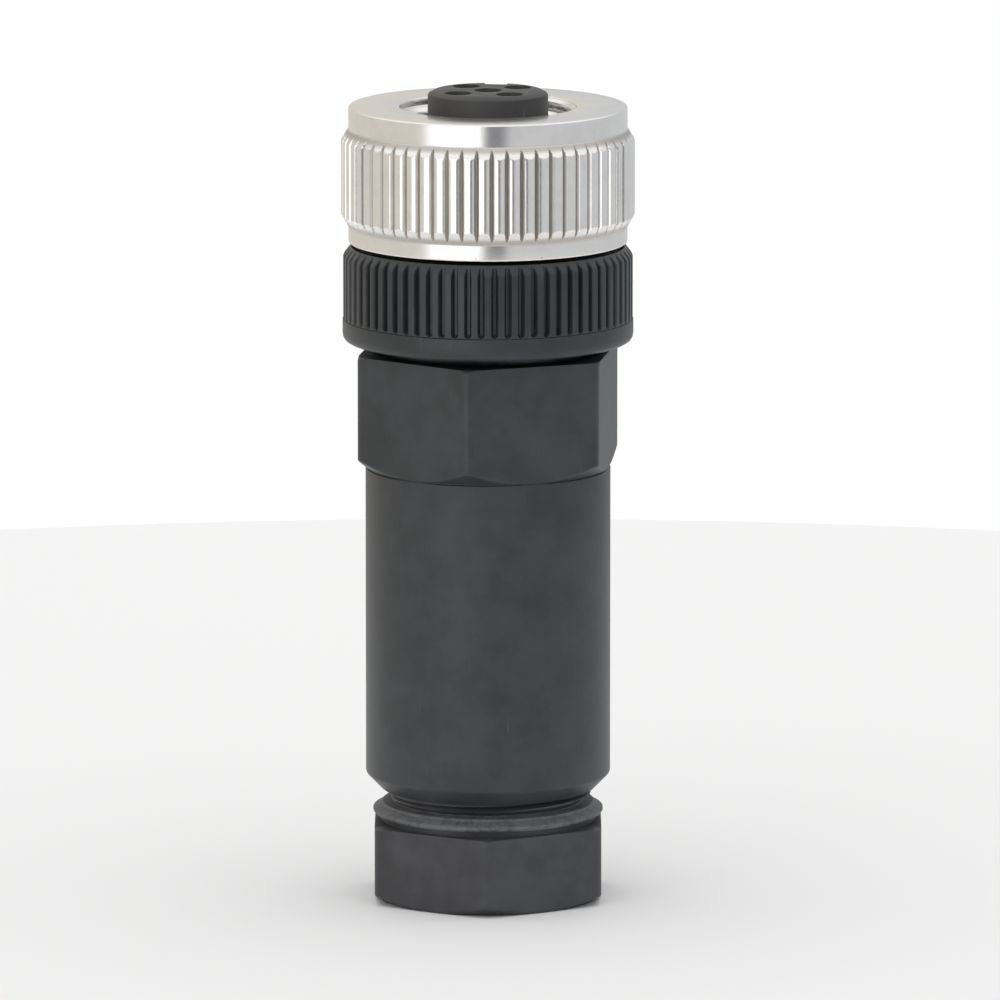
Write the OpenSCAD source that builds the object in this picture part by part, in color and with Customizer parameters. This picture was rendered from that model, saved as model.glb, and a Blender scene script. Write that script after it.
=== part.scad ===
// Straight M12x1 cable connector, four-pole female, field-wireable, with a screw gland.
// Millimetres. +Z runs up the axis from the gland nut's flat base to the contact face.
// The origin is the centre of that base, -Y is the front and the keyway lies close to +Y.

/* [Gland nut] */
// Width across the flats of the gland nut's hexagon
gland_hex_af = 15.5; // [15.2:0.1:18]
// Height of the gland nut's hexagon
gland_hex_h = 5.35; // [4.5:0.05:9]
// Rounding of the hexagon's upright corners
gland_corner_r = 0.8; // [0.3:0.1:1.2]
// Height of the undercut above the hexagon
gland_undercut_h = 0.45; // [0.3:0.05:1]
// Depth of the undercut below the collar's lower edge
gland_undercut_depth = 0.45; // [0.3:0.05:0.7]
// Height of the cone collar above the undercut
gland_collar_h = 0.83; // [0.7:0.01:2]
// Diameter of the cone collar at its lower edge
gland_collar_d = 15.75; // [15:0.05:17]
// Length of the threaded spigot above the collar
gland_spigot_h = 5.77; // [5:0.01:9]
// Bore that the cable enters
cable_bore_d = 7; // [5:0.1:7.4]

/* [Housing] */
// Visible gap between the gland nut's collar and the housing
gland_gap = 0.92; // [0.4:0.02:1.5]
// Outer diameter of the housing's plain barrel
barrel_d = 16.74; // [16.4:0.02:19]
// Length of the plain barrel
barrel_h = 22.35; // [20:0.05:30]
// Height of the chamfer at the barrel's lower end
barrel_chamfer_h = 1.05; // [0.3:0.05:1.1]
// Depth of the fine groove under the hexagon collar
seam_depth = 0.1; // [0.05:0.01:0.3]
// Width of the fine groove under the hexagon collar
seam_w = 0.14; // [0.08:0.01:0.3]
// Width across the flats of the hexagon collar
collar_hex_af = 16.6; // [16.4:0.1:20]
// Height of the hexagon collar
collar_hex_h = 7.95; // [6:0.05:12]
// Rounding of the hexagon collar's upright corners
collar_corner_r = 0.7; // [0.3:0.1:1.2]
// Angle from the front to the collar's nearest corner
collar_turn = -8.5; // [-30:0.5:30]
// Diameter of the two body threads, at the gland and under the grip ring
body_thread_d = 14.1; // [13.6:0.05:14.2]
// Thickness of the ledge that stops the grommet
ledge_h = 1; // [0.6:0.1:2]
// Diameter of the opening in that ledge
ledge_d = 8.6; // [7.4:0.1:10]
// Difference in diameter between the body threads and the wire chamber
chamber_step = 0.24; // [0.1:0.02:1]

/* [Grip ring] */
// Gap between housing and grip ring, where the seal shows
seal_gap = 0.65; // [0.4:0.05:1]
// Depth of the plain band's surface below the coupling nut's knurl
ring_band_step = 0.08; // [0:0.01:0.15]
// Height of the plain band
ring_band_h = 1.55; // [1:0.05:3]
// Rounding of the band's lower edge
ring_round = 0.45; // [0.1:0.05:0.8]
// Depth of the ribs' tops below the coupling nut's knurl
ring_rib_step = 0.13; // [0.05:0.01:0.2]
// Height of the ribs below the top chamfer
ring_rib_h = 4.35; // [3:0.05:8]
// Depth of the grooves between the ribs
ring_groove_depth = 0.42; // [0.2:0.02:0.6]
// Number of ribs
ring_ribs = 68; // [48:1:76]
// Height of the chamfer above the ribs
ring_chamfer_h = 0.65; // [0.3:0.05:1]
// Width of the chamfer above the ribs
ring_chamfer_w = 0.5; // [0.3:0.05:0.8]
// Diameter of the hub that carries the coupling nut
hub_d = 9.9; // [9.7:0.02:10]
// Diameter of the hub's nose under the retaining ring
nose_d = 9.2; // [9:0.02:9.4]
// Length of the threaded spigot below the ring
ring_spigot_h = 5.5; // [4.5:0.1:5.6]

/* [Coupling nut] */
// Nominal diameter of the coupling thread
coupling_d = 12; // [11.98:0.01:12.4]
// Pitch of the coupling thread
coupling_pitch = 1; // [0.75:0.05:1]
// Gap between grip ring and coupling nut
nut_gap = 0.25; // [0.15:0.05:0.5]
// Diameter of the turned collars above and below the knurl
nut_collar_d = 19; // [17:0.1:19.2]
// Diameter over the knurl
nut_knurl_d = 20; // [19.8:0.1:22]
// Depth of the knurl's grooves
nut_knurl_depth = 0.42; // [0.2:0.02:0.45]
// Number of knurled teeth
nut_knurls = 60; // [36:1:72]
// Height of the lower collar
nut_low_collar_h = 1.1; // [0.6:0.05:3]
// Height of the chamfer below the knurl
nut_low_chamfer_h = 0.85; // [0.4:0.05:1]
// Height of the full knurl
nut_knurl_h = 5.05; // [4:0.05:12]
// Height of the chamfer above the knurl
nut_top_chamfer_h = 0.8; // [0.4:0.05:1]
// Height of the upper collar
nut_top_collar_h = 1.52; // [0.8:0.02:4]
// Thickness of the rear lip that the retaining ring holds
lip_h = 1.15; // [0.8:0.05:1.5]
// Length of the thread relief above the lip
relief_h = 1.4; // [1.2:0.05:2]
// Thickness of the retaining ring
retainer_h = 0.8; // [0.5:0.05:1]

/* [Contact insert] */
// Height of the insert's face above the coupling nut
insert_proud = 1.06; // [0.2:0.02:1.5]
// Diameter of the insert's barrel
insert_d = 8.2; // [8.1:0.02:8.3]
// Diameter of the insert's foot, which the hub and the face seal hold
foot_d = 8.56; // [8.5:0.02:8.6]
// Width of the sloping border round the face
border_w = 0.46; // [0.2:0.02:0.5]
// Drop of the sloping border
border_h = 0.2; // [0.1:0.02:0.4]
// Angle of the contact face, keyway and terminals round the axis
face_turn = -9; // [-45:1:45]
// Pitch circle of the contacts
contact_pcd = 5; // [4.9:0.05:5.1]
// Diameter of the holes in the face
face_hole_d = 1.86; // [1.84:0.01:1.9]
// Depth of the blind hole in the middle of the face
blind_h = 6; // [2:0.5:8]
// Width of the keyway
key_w = 1.6; // [1.2:0.05:1.8]
// Distance from the axis to the keyway's floor
key_floor_r = 3; // [2.9:0.05:3.4]
// Length of the keyway
key_h = 7.4; // [4:0.1:7.6]
// Diameter of the terminal block
block_d = 10.9; // [10.8:0.02:11]
// Length of the terminal block below the shoulder
block_h = 15; // [14:0.1:16.5]

/* [Contacts and terminals] */
// Outer diameter of the slit socket
socket_d = 1.8; // [1.7:0.01:1.8]
// Bore for the mating pin
pin_bore_d = 1.06; // [1.02:0.01:1.1]
// Depth of the pin bore
pin_bore_h = 7.5; // [6:0.1:9]
// Distance from the insert's face down to the socket's mouth
socket_recess = 1; // [0.6:0.05:2]
// Diameter of the terminal at the contact's lower end
terminal_d = 2.8; // [2.7:0.02:2.84]
// Length of the terminal
terminal_h = 13; // [12.6:0.1:13.4]
// Bore for the wire
wire_bore_d = 1.6; // [1.5:0.02:1.7]
// Nominal diameter of the clamp screws
clamp_d = 2; // [1.8:0.05:2.1]
// Diameter of the clamp screws' heads
clamp_head_d = 2.9; // [2.6:0.05:3]
// Height of the clamp screws' heads
clamp_head_h = 0.95; // [0.6:0.05:1]
// Height of the clamp screws above the contact's lower end
clamp_z = 3.3; // [2.6:0.1:3.6]
// Width of the wire guards
guard_w = 1; // [0.8:0.05:1.04]
// Thickness of the wire guards
guard_t = 0.2; // [0.12:0.01:0.22]
// Length of the wire guards above the contact's lower end
guard_h = 6.3; // [5.5:0.1:6.8]
// Length of the wire guards' turned-out feet
guard_foot = 1; // [0.6:0.1:1.1]

/* [Seals and clamp] */
// Cord of the seal under the grip ring
body_seal_cord = 0.96; // [0.9:0.02:1.3]
// Cord of the seal round the insert's foot
face_seal_cord = 1.06; // [0.8:0.02:1.1]
// Bore of the grommet
grommet_bore_d = 6.2; // [5.8:0.1:6.6]
// Outer diameter of the grommet's body
grommet_d = 12.6; // [11:0.1:12.8]
// Height of the grommet
grommet_h = 6.1; // [4.5:0.1:8]
// Height of the clamp cage's ring
cage_ring_h = 1.2; // [0.8:0.1:1.6]
// Number of the clamp cage's fingers
cage_fingers = 8; // [6:1:10]
// Width of the slots between the fingers
cage_slot_w = 0.9; // [0.6:0.1:1.2]

/* [Fits] */
// Radial clearance between pieces that turn in each other
run_clear = 0.07; // [0.04:0.01:0.09]
// Clearance between pieces that are seated and stay put
seat_clear = 0.03; // [0.02:0.01:0.04]

/* [Hidden] */
$fn = 64;

eps = 0.01;
over = 1;

// Small forms that several pieces share
edge = 0.12;
mouth = 0.15;
finger_clear = 0.12;
finger_rise = 1.6;
cone_lead = 2.8;
terminal_step = 0.95;
terminal_gap = 0.5;
wire_reach = 4;
thread_lead = 0.5;
flange_h = 0.9;
// Rise of the cones that cut back the hexagons' corners, for each millimetre outwards
low_slope = 0.6;
top_slope = 0.5;
collar_low_slope = 0.75;
// Height of a sharp 60 degree thread's flank share, as a part of its pitch
flank = 0.5413;

// Levels up the axis
undercut_z = gland_hex_h;
collar_z = undercut_z + gland_undercut_h;
gland_top_z = collar_z + gland_collar_h;
spigot_top_z = gland_top_z + gland_spigot_h;
housing_z = gland_top_z + gland_gap;
hex_z = housing_z + barrel_h;
housing_top_z = hex_z + collar_hex_h;
ring_z = housing_top_z + seal_gap;
rib_z = ring_z + ring_band_h;
rib_top_z = rib_z + ring_rib_h;
ring_top_z = rib_top_z + ring_chamfer_h;
nut_z = ring_top_z + nut_gap;
knurl_z = nut_z + nut_low_collar_h;
knurl_top_z = knurl_z + nut_low_chamfer_h + nut_knurl_h + nut_top_chamfer_h;
nut_top_z = knurl_top_z + nut_top_collar_h;
insert_top_z = nut_top_z + insert_proud;
cage_z = spigot_top_z + seat_clear;
cage_top_z = cage_z + cage_ring_h;
grommet_z = cage_top_z + seat_clear;
grommet_top_z = grommet_z + grommet_h;
ledge_z = grommet_top_z + seat_clear;
chamber_z = ledge_z + ledge_h;
ring_spigot_z = ring_z - ring_spigot_h;
shoulder_z = ring_z + ring_band_h + terminal_step;
block_z = shoulder_z - block_h;
lip_top_z = nut_z + lip_h;
retainer_z = lip_top_z + 2 * seat_clear;
nose_top_z = retainer_z + retainer_h;
foot_top_z = nose_top_z + face_seal_cord + 0.2;
socket_z = insert_top_z - socket_recess;
terminal_top_z = shoulder_z - terminal_gap;
terminal_z = terminal_top_z - terminal_h;

// Radii that mating pieces share
barrel_r = barrel_d / 2;
band_r = nut_knurl_d / 2 - ring_band_step;
rib_r = nut_knurl_d / 2 - ring_rib_step;
thread_r = body_thread_d / 2;
thread_bore_r = thread_r + run_clear;
chamber_r = thread_r - chamber_step / 2;
grommet_bore_r = grommet_d / 2 + seat_clear;
grommet_flange_r = thread_r - run_clear;
insert_r = insert_d / 2;
foot_r = foot_d / 2;
foot_bore_r = foot_r + seat_clear;
block_r = block_d / 2;
block_bore_r = block_r + seat_clear;
hub_r = hub_d / 2;
nose_r = nose_d / 2;
minor_r = coupling_d / 2 - flank * coupling_pitch;
retainer_r = minor_r - run_clear;
terminal_r = terminal_d / 2;
pitch_r = contact_pcd / 2;
body_seal_r = thread_r + seat_clear + body_seal_cord / 2;
ring_seat_z = housing_top_z + body_seal_cord + 2 * seat_clear;
gland_neck_r = gland_collar_d / 2 - gland_undercut_depth;
gland_cone_r = thread_r - 1.45;
cone_z = gland_hex_h + 0.3;
cone_h = spigot_top_z - cone_z - cone_lead;
// Where the clamp screws' tips and the undersides of their heads lie, out from the axis
tip_r = pitch_r - 0.15;
head_r = pitch_r + terminal_r + 0.4;

// Outline of a hexagon whose corners are rounded, with one corner on the X axis
function hexagon(af, corner_r, steps = 6) =
    [for (corner = [0:5]) for (step = [0:steps])
        let (to = 60 * corner, at = to - 30 + 60 * step / steps,
             centre_r = (af / 2 - corner_r) / cos(30))
        [centre_r * cos(to) + corner_r * cos(at), centre_r * sin(to) + corner_r * sin(at)]];

// Outline of a ring of teeth: each point is a share of the pitch and a depth below the tip
function toothed(tip_r, count, points) =
    [for (tooth = [0:count - 1]) for (point = points)
        let (at = 360 * (tooth + point[0]) / count, r = tip_r - point[1])
        [r * cos(at), r * sin(at)]];

// Angle of a contact round the axis, 45 degrees to either side of the keyway's line
function contact_angle(index) = face_turn + 45 + 90 * (index - 1);

module turned(points) {
    rotate_extrude() polygon(points);
}

module tube_cut(r, z0, z1) {
    translate([0, 0, z0]) cylinder(r = r, h = z1 - z0);
}

module o_ring(centre_r, cord, z) {
    rotate_extrude() translate([centre_r, z]) circle(d = cord, $fn = 32);
}

module at_contact(index) {
    rotate(contact_angle(index)) translate([pitch_r, 0, 0]) children();
}

// A hexagon head between two levels, with its corners cut back by cones at both ends
module hex_head(af, corner_r, turn, z0, z1, low_r, low_h, top_r, top_h) {
    far_r = af;
    intersection() {
        translate([0, 0, z0]) rotate(turn - 90)
            linear_extrude(z1 - z0) polygon(hexagon(af, corner_r));
        turned([[0, z0], [low_r, z0], [far_r, z0 + low_h * (far_r - low_r)],
                [far_r, z1 - top_h * (far_r - top_r)], [top_r, z1], [0, z1]]);
    }
}

module gland_nut() {
    inscribed_r = gland_hex_af / 2;
    corner_trim = 0.85;
    lip_r = thread_r + 0.2;
    entry = 0.6;
    color([0.2, 0.21, 0.23]) difference() {
        union() {
            hex_head(gland_hex_af, gland_corner_r, 0, 0, gland_hex_h,
                     inscribed_r - edge, low_slope, inscribed_r + corner_trim, top_slope);
            turned([[0, undercut_z - eps], [gland_neck_r, undercut_z - eps],
                    [gland_neck_r, collar_z], [gland_collar_d / 2 - edge, collar_z],
                    [gland_collar_d / 2, collar_z + edge], [gland_collar_d / 2, collar_z + 2 * edge],
                    [lip_r + edge, gland_top_z - 2 * edge], [lip_r, gland_top_z - edge / 2],
                    [lip_r - edge, gland_top_z], [thread_r, gland_top_z],
                    [thread_r, spigot_top_z - thread_lead], [thread_r - thread_lead, spigot_top_z],
                    [0, spigot_top_z]]);
        }
        tube_cut(cable_bore_d / 2, -over, spigot_top_z);
        turned([[0, -over], [cable_bore_d / 2 + entry, -over], [cable_bore_d / 2 + entry, 0],
                [cable_bore_d / 2, entry], [0, entry]]);
        turned([[0, cone_z], [cable_bore_d / 2, cone_z], [gland_cone_r, cone_z + cone_h],
                [gland_cone_r, spigot_top_z + over], [0, spigot_top_z + over]]);
    }
}

module clamp_cage() {
    finger_r = gland_cone_r - finger_clear;
    finger_tip_r = grommet_bore_d / 2 + 0.25;
    flange_r = thread_r - run_clear;
    root_h = 0.6;
    // The fingers' backs lie along the gland nut's cone
    slope = (gland_cone_r - cable_bore_d / 2) / cone_h;
    tip_z = cone_z + finger_rise;
    tip_back_r = cable_bore_d / 2 + slope * finger_rise - 1.5 * finger_clear;
    color([0.25, 0.26, 0.27]) difference() {
        turned([[finger_r - 1, cage_top_z], [finger_r - 1, cone_z + cone_h + root_h],
                [finger_tip_r, tip_z + 1], [finger_tip_r, tip_z], [tip_back_r, tip_z],
                [finger_r, cone_z + cone_h + finger_clear], [finger_r, cage_z],
                [flange_r, cage_z], [flange_r, cage_top_z]]);
        for (finger = [0:cage_fingers - 1])
            rotate(360 * (finger + 0.5) / cage_fingers)
                translate([0, -cage_slot_w / 2, tip_z - over])
                    cube([thread_r, cage_slot_w, cage_z - tip_z + over - root_h]);
    }
}

module grommet() {
    ribs = 4;
    rib_pitch = (grommet_h - flange_h) / ribs;
    color([0.12, 0.12, 0.12]) difference() {
        union() {
            tube_cut(grommet_flange_r, grommet_z, grommet_z + flange_h);
            tube_cut(grommet_d / 2, grommet_z, grommet_top_z);
        }
        tube_cut(grommet_bore_d / 2, grommet_z - over, grommet_top_z + over);
        for (rib = [0:ribs - 1])
            translate([0, 0, grommet_z + flange_h + rib_pitch * rib + rib_pitch / 8]) {
                rotate_extrude() translate([grommet_bore_d / 2, rib_pitch / 2])
                    circle(r = rib_pitch / 3, $fn = 24);
                rotate_extrude() translate([grommet_d / 2, rib_pitch / 2])
                    circle(r = rib_pitch / 4, $fn = 24);
            }
    }
}

module housing() {
    foot_chamfer_r = thread_bore_r + 0.18;
    mouth_w = 0.25;
    corner_trim = 0.95;
    spigot_clear = 0.6;
    color([0.2, 0.22, 0.24]) difference() {
        union() {
            turned([[0, housing_z], [foot_chamfer_r, housing_z],
                    [barrel_r - edge, housing_z + barrel_chamfer_h - edge],
                    [barrel_r, housing_z + barrel_chamfer_h + edge], [barrel_r, hex_z - seam_w],
                    [barrel_r - seam_depth, hex_z - seam_w], [barrel_r - seam_depth, hex_z + eps],
                    [0, hex_z + eps]]);
            hex_head(collar_hex_af, collar_corner_r, collar_turn, hex_z, housing_top_z,
                     barrel_r, collar_low_slope, collar_hex_af / 2 + corner_trim, 1);
        }
        tube_cut(thread_bore_r, housing_z - over, grommet_z + flange_h + edge);
        tube_cut(grommet_bore_r, grommet_z, ledge_z);
        tube_cut(ledge_d / 2, ledge_z - over, chamber_z + over);
        tube_cut(chamber_r, chamber_z, ring_spigot_z);
        tube_cut(thread_bore_r, ring_spigot_z - spigot_clear, housing_top_z + over);
        turned([[0, housing_top_z - mouth_w], [thread_bore_r, housing_top_z - mouth_w],
                [thread_bore_r + mouth_w + over, housing_top_z + over], [0, housing_top_z + over]]);
    }
}

module body_seal() {
    color([0.08, 0.08, 0.08])
        o_ring(body_seal_r, body_seal_cord, housing_top_z + seat_clear + body_seal_cord / 2);
}

module grip_ring() {
    root_r = rib_r - ring_groove_depth;
    rib_turn = 2.7 - 90 + 180 / ring_ribs;
    groove_out = body_seal_r + body_seal_cord / 2 + 0.15;
    groove_rise = 0.35;
    // How far a round edge stands back from its corner, halfway round
    round_back = 0.29 * ring_round;
    // Shares of the pitch: a flat-topped rib with soft edges, and a narrow round groove
    rib_shape = [[-0.3, 0.05], [-0.2, 0], [0.2, 0], [0.3, 0.05],
                 [0.41, ring_groove_depth], [0.59, ring_groove_depth]];
    color([0.15, 0.16, 0.17]) difference() {
        union() {
            intersection() {
                translate([0, 0, rib_z - edge]) rotate(rib_turn)
                    linear_extrude(ring_top_z - rib_z + edge)
                        polygon(toothed(rib_r, ring_ribs, rib_shape));
                turned([[0, rib_z - edge], [rib_r + edge, rib_z - edge],
                        [rib_r + edge, rib_top_z - edge], [rib_r - edge / 2, rib_top_z + edge],
                        [rib_r - ring_chamfer_w, ring_top_z], [0, ring_top_z]]);
            }
            turned([[0, ring_z], [band_r - ring_round, ring_z],
                    [band_r - round_back, ring_z + round_back], [band_r, ring_z + ring_round],
                    [band_r, rib_z - edge / 2], [band_r - edge / 2, rib_z], [rib_r - edge, rib_z],
                    [root_r - edge, rib_z + groove_rise], [0, rib_z + groove_rise]]);
            turned([[0, ring_top_z - eps], [hub_r, ring_top_z - eps], [hub_r, retainer_z - seat_clear],
                    [nose_r, retainer_z - seat_clear], [nose_r, nose_top_z - edge],
                    [nose_r - edge, nose_top_z], [0, nose_top_z]]);
            turned([[0, ring_spigot_z], [thread_r - thread_lead, ring_spigot_z],
                    [thread_r, ring_spigot_z + thread_lead], [thread_r, ring_z + eps],
                    [0, ring_z + eps]]);
        }
        difference() {
            tube_cut(groove_out, ring_z - eps, ring_seat_z);
            tube_cut(thread_r, ring_z - over, ring_seat_z + over);
        }
        tube_cut(block_bore_r, ring_spigot_z - over, shoulder_z);
        tube_cut(foot_bore_r, shoulder_z - over, nose_top_z + over);
    }
}

module contact_insert() {
    hole_r = terminal_r + seat_clear;
    screw_hole_r = clamp_head_d / 2 + 0.1;
    flute_r = 1.5;
    flute_at = block_r + 0.6;
    flute_z = ring_spigot_z - 0.8;
    lead = 0.3;
    color([0.13, 0.13, 0.13]) difference() {
        turned([[0, block_z], [block_r - lead, block_z], [block_r, block_z + lead],
                [block_r, shoulder_z - seat_clear], [foot_r, shoulder_z - seat_clear],
                [foot_r, foot_top_z], [insert_r, foot_top_z],
                [insert_r, insert_top_z - border_h - edge], [insert_r - edge / 2, insert_top_z - border_h],
                [insert_r - border_w, insert_top_z], [0, insert_top_z]]);
        rotate(face_turn) translate([-key_w / 2, key_floor_r, insert_top_z - key_h])
            cube([key_w, insert_r, key_h + over]);
        tube_cut(face_hole_d / 2, insert_top_z - blind_h, insert_top_z + over);
        for (index = [1:4]) {
            at_contact(index) {
                tube_cut(face_hole_d / 2, terminal_top_z, insert_top_z + over);
                tube_cut(hole_r, block_z - over, terminal_top_z + seat_clear);
            }
            rotate(contact_angle(index)) translate([pitch_r + terminal_r / 2, 0, terminal_z + clamp_z])
                rotate([0, 90, 0]) cylinder(r = screw_hole_r, h = block_r);
            // A flute between the terminals, which parts the wires
            rotate(contact_angle(index) + 45) translate([flute_at, 0, block_z - over])
                cylinder(r = flute_r, h = flute_z - block_z + over);
        }
    }
}

module contact(index) {
    slit_w = 0.16;
    slit_h = 4.5;
    tap_start = tip_r - 0.25;
    color([0.85, 0.68, 0.3]) difference() {
        at_contact(index) turned(
            [[0, terminal_z], [terminal_r - mouth, terminal_z], [terminal_r, terminal_z + mouth],
             [terminal_r, terminal_top_z], [socket_d / 2, terminal_top_z],
             [socket_d / 2, socket_z - mouth], [socket_d / 2 - mouth, socket_z], [0, socket_z]]);
        at_contact(index) {
            tube_cut(pin_bore_d / 2, socket_z - pin_bore_h, socket_z + over);
            turned([[0, socket_z - mouth], [pin_bore_d / 2, socket_z - mouth],
                    [pin_bore_d / 2 + mouth + over, socket_z + over], [0, socket_z + over]]);
            tube_cut(wire_bore_d / 2, terminal_z - over, terminal_z + clamp_z + wire_reach);
            for (turn = [0, 90])
                rotate(turn) translate([-socket_d, -slit_w / 2, socket_z - slit_h])
                    cube([2 * socket_d, slit_w, slit_h + over]);
        }
        rotate(contact_angle(index)) translate([tap_start, 0, terminal_z + clamp_z])
            rotate([0, 90, 0]) cylinder(r = clamp_d / 2, h = terminal_d);
    }
}

module wire_guard(index) {
    foot_z = terminal_z - 0.1 - guard_t;
    color([0.75, 0.76, 0.78]) rotate(contact_angle(index))
        translate([tip_r - seat_clear - guard_t, -guard_w / 2, foot_z]) {
            cube([guard_t, guard_w, terminal_z + guard_h - foot_z]);
            cube([guard_foot, guard_w, guard_t]);
        }
}

module terminal_screw(index) {
    slot_w = 0.4;
    slot_h = 0.45;
    head_top = head_r + clamp_head_h;
    color([0.8, 0.81, 0.83]) rotate(contact_angle(index)) translate([0, 0, terminal_z + clamp_z])
        rotate([0, 90, 0]) difference() {
            union() {
                tube_cut(clamp_d / 2 - run_clear, tip_r, head_r + eps);
                turned([[0, head_r], [clamp_head_d / 2, head_r],
                        [clamp_head_d / 2, head_top - edge],
                        [clamp_head_d / 2 - edge, head_top], [0, head_top]]);
            }
            translate([-clamp_head_d, -slot_w / 2, head_top - slot_h])
                cube([2 * clamp_head_d, slot_w, slot_h + over]);
        }
}

module nut_retainer() {
    lead = 0.2;
    color([0.8, 0.8, 0.78]) difference() {
        turned([[0, retainer_z], [retainer_r, retainer_z], [retainer_r, nose_top_z - lead],
                [retainer_r - lead, nose_top_z], [0, nose_top_z]]);
        tube_cut(nose_r + seat_clear, retainer_z - over, nose_top_z + over);
    }
}

module face_seal() {
    color([0.1, 0.1, 0.1]) o_ring(foot_r + seat_clear + face_seal_cord / 2, face_seal_cord,
                                  nose_top_z + seat_clear + face_seal_cord / 2);
}

module coupling_nut() {
    knurl_r = nut_knurl_d / 2;
    collar_r = nut_collar_d / 2;
    relief_r = coupling_d / 2 + 0.05;
    mouth_h = 0.6;
    knurl_turn = 1.6 - 90 + 180 / nut_knurls;
    // Shares of the pitch: a rounded tooth and a narrow groove
    tooth_shape = [[-0.34, 0.16], [-0.2, 0.03], [0, 0], [0.2, 0.03], [0.34, 0.16],
                   [0.5, nut_knurl_depth]];
    color([0.85, 0.85, 0.84]) difference() {
        union() {
            intersection() {
                translate([0, 0, knurl_z]) rotate(knurl_turn) linear_extrude(knurl_top_z - knurl_z)
                    polygon(toothed(knurl_r, nut_knurls, tooth_shape));
                turned([[0, knurl_z], [collar_r - eps, knurl_z],
                        [knurl_r + eps, knurl_z + nut_low_chamfer_h],
                        [knurl_r + eps, knurl_top_z - nut_top_chamfer_h],
                        [collar_r - eps, knurl_top_z], [0, knurl_top_z]]);
            }
            turned([[0, nut_z], [collar_r - edge, nut_z], [collar_r, nut_z + edge],
                    [collar_r, nut_top_z - edge], [collar_r - edge, nut_top_z], [0, nut_top_z]]);
        }
        tube_cut(hub_r + run_clear, nut_z - over, lip_top_z + over);
        tube_cut(minor_r, lip_top_z, nut_top_z + over);
        tube_cut(relief_r, lip_top_z, lip_top_z + relief_h);
        turned([[0, nut_top_z - mouth_h], [minor_r, nut_top_z - mouth_h],
                [relief_r + over, nut_top_z + over], [0, nut_top_z + over]]);
    }
}

gland_nut();
clamp_cage();
grommet();
housing();
body_seal();
grip_ring();
contact_insert();
contact(1);  // contact_1
contact(2);  // contact_2
contact(3);  // contact_3
contact(4);  // contact_4
wire_guard(1);  // wire_guard_1
wire_guard(2);  // wire_guard_2
wire_guard(3);  // wire_guard_3
wire_guard(4);  // wire_guard_4
terminal_screw(1);  // terminal_screw_1
terminal_screw(2);  // terminal_screw_2
terminal_screw(3);  // terminal_screw_3
terminal_screw(4);  // terminal_screw_4
nut_retainer();
face_seal();
coupling_nut();
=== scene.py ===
"""Looks of a straight round M12 cable connector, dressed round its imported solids.

Lengths in the classes are millimetres and are turned into metres when a mesh is made. +Z runs
up the axis to the contact face, and -Y is the front.
"""

from __future__ import annotations

import logging
import math
from dataclasses import dataclass, field
from enum import Enum
from typing import Callable, Sequence, Union

import bmesh
import bpy
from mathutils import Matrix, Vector

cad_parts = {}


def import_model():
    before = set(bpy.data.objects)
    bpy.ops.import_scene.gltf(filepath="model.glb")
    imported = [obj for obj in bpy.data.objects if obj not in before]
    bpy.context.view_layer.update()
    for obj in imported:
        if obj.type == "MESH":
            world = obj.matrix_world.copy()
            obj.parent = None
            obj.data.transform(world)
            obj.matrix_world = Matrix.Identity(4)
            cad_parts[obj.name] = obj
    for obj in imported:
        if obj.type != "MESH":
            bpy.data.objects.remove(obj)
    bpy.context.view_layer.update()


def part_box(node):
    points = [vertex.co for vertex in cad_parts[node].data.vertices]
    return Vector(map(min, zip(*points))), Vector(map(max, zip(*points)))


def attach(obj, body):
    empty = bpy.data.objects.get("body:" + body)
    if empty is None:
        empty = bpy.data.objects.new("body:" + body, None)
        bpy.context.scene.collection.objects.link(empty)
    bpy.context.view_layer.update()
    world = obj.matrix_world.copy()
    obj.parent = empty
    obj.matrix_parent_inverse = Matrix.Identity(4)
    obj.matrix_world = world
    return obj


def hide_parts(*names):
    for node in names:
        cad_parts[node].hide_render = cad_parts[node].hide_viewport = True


LOG = logging.getLogger("connector")
MM = 1e-3
Colour = tuple[float, float, float]
Point = tuple[float, float]


class Body(Enum):
    """Bodies of the connector that move as one."""

    HOUSING = "housing"
    CLAMP_CAGE = "clamp_cage"
    GLAND_NUT = "gland_nut"
    BODY_SEAL = "body_seal"
    FRONT = "front"
    COUPLING_NUT = "coupling_nut"


class Slot(Enum):
    """Material slots of the record."""

    GLAND = "gland_plastic"
    CAGE = "cage_plastic"
    RUBBER = "seal_rubber"
    HOUSING = "housing_plastic"
    RING = "ring_plastic"
    INSERT = "insert_plastic"
    NICKEL = "nickel"
    SPRING = "nickel_steel"
    GILT = "gilt_brass"
    SCREW = "screw_steel"


# ----- node graphs


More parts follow.
